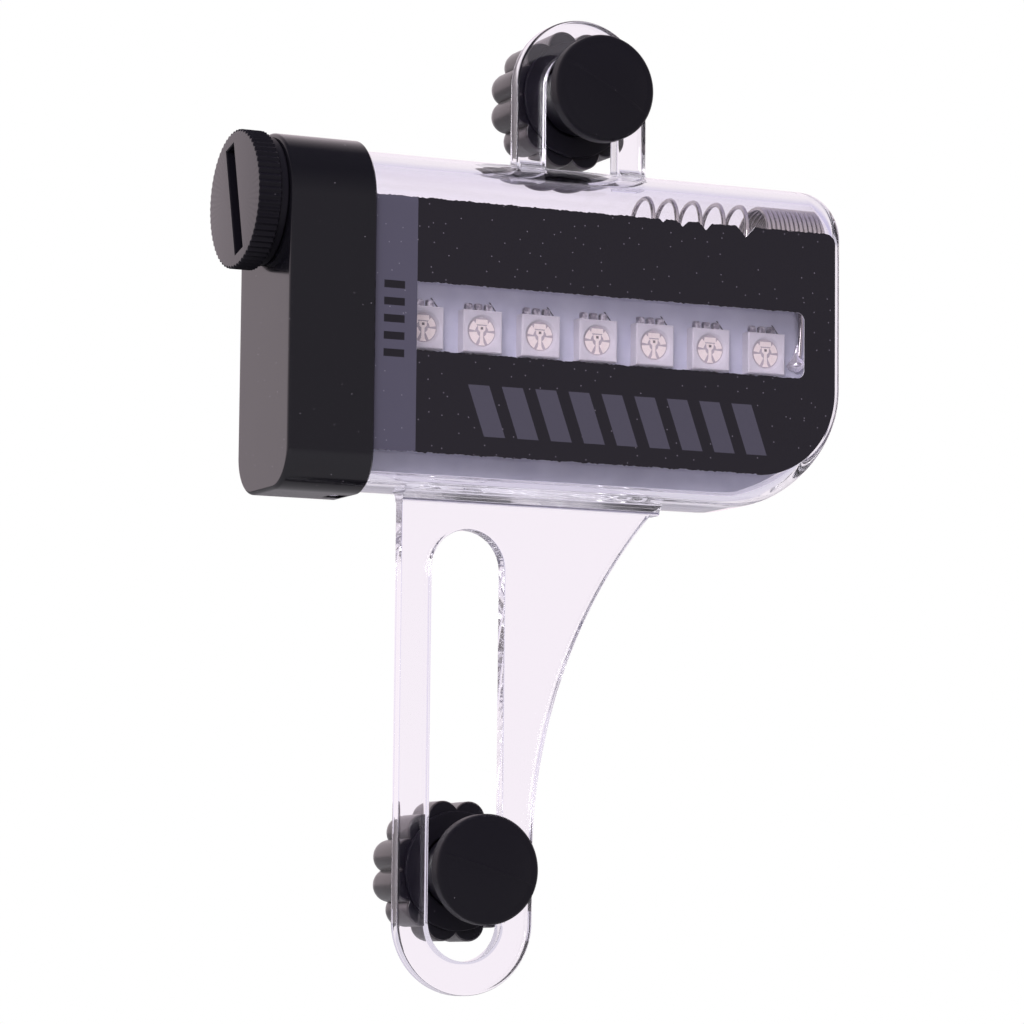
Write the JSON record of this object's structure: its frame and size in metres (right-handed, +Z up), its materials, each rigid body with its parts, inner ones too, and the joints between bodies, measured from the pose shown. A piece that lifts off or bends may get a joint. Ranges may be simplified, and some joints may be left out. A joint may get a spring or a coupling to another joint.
{
  "type": "bicycle spoke light",
  "caption": "Flat clear bicycle spoke light with a slotted ear and arm, dome-headed spoke clamps with thumb nuts, rows of LEDs and a screw-in battery cap.",
  "frame": {"origin": "on the axis of the upper clamp, in the mid-plane of the ear", "axes": "+X along the case away from the battery cap, +Z up from the arm to the ear, -Y the front, where the dome heads are"},
  "size_m": [0.0772, 0.0176, 0.1165],
  "materials": {
    "clear_plastic": "clear polycarbonate, polished mould",
    "black_gloss": "glossy black ABS",
    "black_satin": "satin black nylon",
    "seal_rubber": "soft black ring",
    "nickel": "bright nickel plate",
    "board": "white solder mask",
    "led_white": "white LED body, clear resin",
    "chip_black": "moulded epoxy",
    "ferrite": "dark ferrite",
    "capacitor_ochre": "moulded case",
    "steel_can": "plated can",
    "film": "printed black film, satin"
  },
  "bodies": {
    "lamp": {"clear_case": "clear_plastic", "end_cap": "black_gloss", "contact_strip": "nickel", "battery_spring": "nickel", "spring_lead": "nickel", "pcb": "board", "led_front_1": "led_white", "led_front_2": "led_white", "led_front_3": "led_white", "led_front_4": "led_white", "led_front_5": "led_white", "led_front_6": "led_white", "led_front_7": "led_white", "led_back_1": "led_white", "led_back_2": "led_white", "led_back_3": "led_white", "led_back_4": "led_white", "led_back_5": "led_white", "led_back_6": "led_white", "led_back_7": "led_white", "controller_chip": "chip_black", "boost_inductor": "ferrite", "filter_capacitor": "capacitor_ochre", "led_resistors": "chip_black", "motion_switch": "steel_can", "label_front": "film", "label_back": "film", "upper_clamp_washer": "black_satin"},
    "cap_seal": {"battery_cap_seal": "seal_rubber"},
    "battery_cap": {"battery_cap": "black_satin", "battery_cap_contact": "nickel"},
    "upper_nut": {"upper_clamp_nut": "black_satin"},
    "upper_bolt": {"upper_clamp_bolt": "black_satin"},
    "lower_washer": {"lower_clamp_washer": "black_satin"},
    "lower_nut": {"lower_clamp_nut": "black_satin"},
    "lower_bolt": {"lower_clamp_bolt": "black_satin"}
  },
  "joints": [
    {"name": "battery_cap_travel", "type": "slide", "parent": "lamp", "child": "cap_seal", "axis": [-1, 0, 0], "range_m": [0, 0.0025]},
    {"name": "battery_cap_turn", "type": "hinge", "parent": "cap_seal", "child": "battery_cap", "pos_m": [-0.04, 0, -0.0159], "axis": [-1, 0, 0], "range_deg": [0, 722]},
    {"name": "upper_nut_turn", "type": "hinge", "parent": "lamp", "child": "upper_nut", "pos_m": [0, 0, 0], "axis": [0, -1, 0], "range_deg": [-362, 1038]},
    {"name": "upper_bolt_draw", "type": "slide", "parent": "lamp", "child": "upper_bolt", "axis": [0, 1, 0], "range_m": [-0.0008, 0.0023]},
    {"name": "lower_clamp_slide", "type": "slide", "parent": "lamp", "child": "lower_washer", "axis": [0, 0, 1], "range_m": [-0.0056, 0.034]},
    {"name": "lower_nut_turn", "type": "hinge", "parent": "lower_washer", "child": "lower_nut", "pos_m": [-0.0142, 0, -0.0927], "axis": [0, -1, 0], "range_deg": [-362, 1038]},
    {"name": "lower_bolt_draw", "type": "slide", "parent": "lower_washer", "child": "lower_bolt", "axis": [0, 1, 0], "range_m": [-0.0008, 0.0023]}
  ],
  "couplings": [
    {"joint": "battery_cap_turn", "follows": "battery_cap_travel", "rad_per_m": 5026.5},
    {"joint": "upper_nut_turn", "follows": "upper_bolt_draw", "rad_per_m": 7854},
    {"joint": "lower_nut_turn", "follows": "lower_bolt_draw", "rad_per_m": 7854}
  ]
}
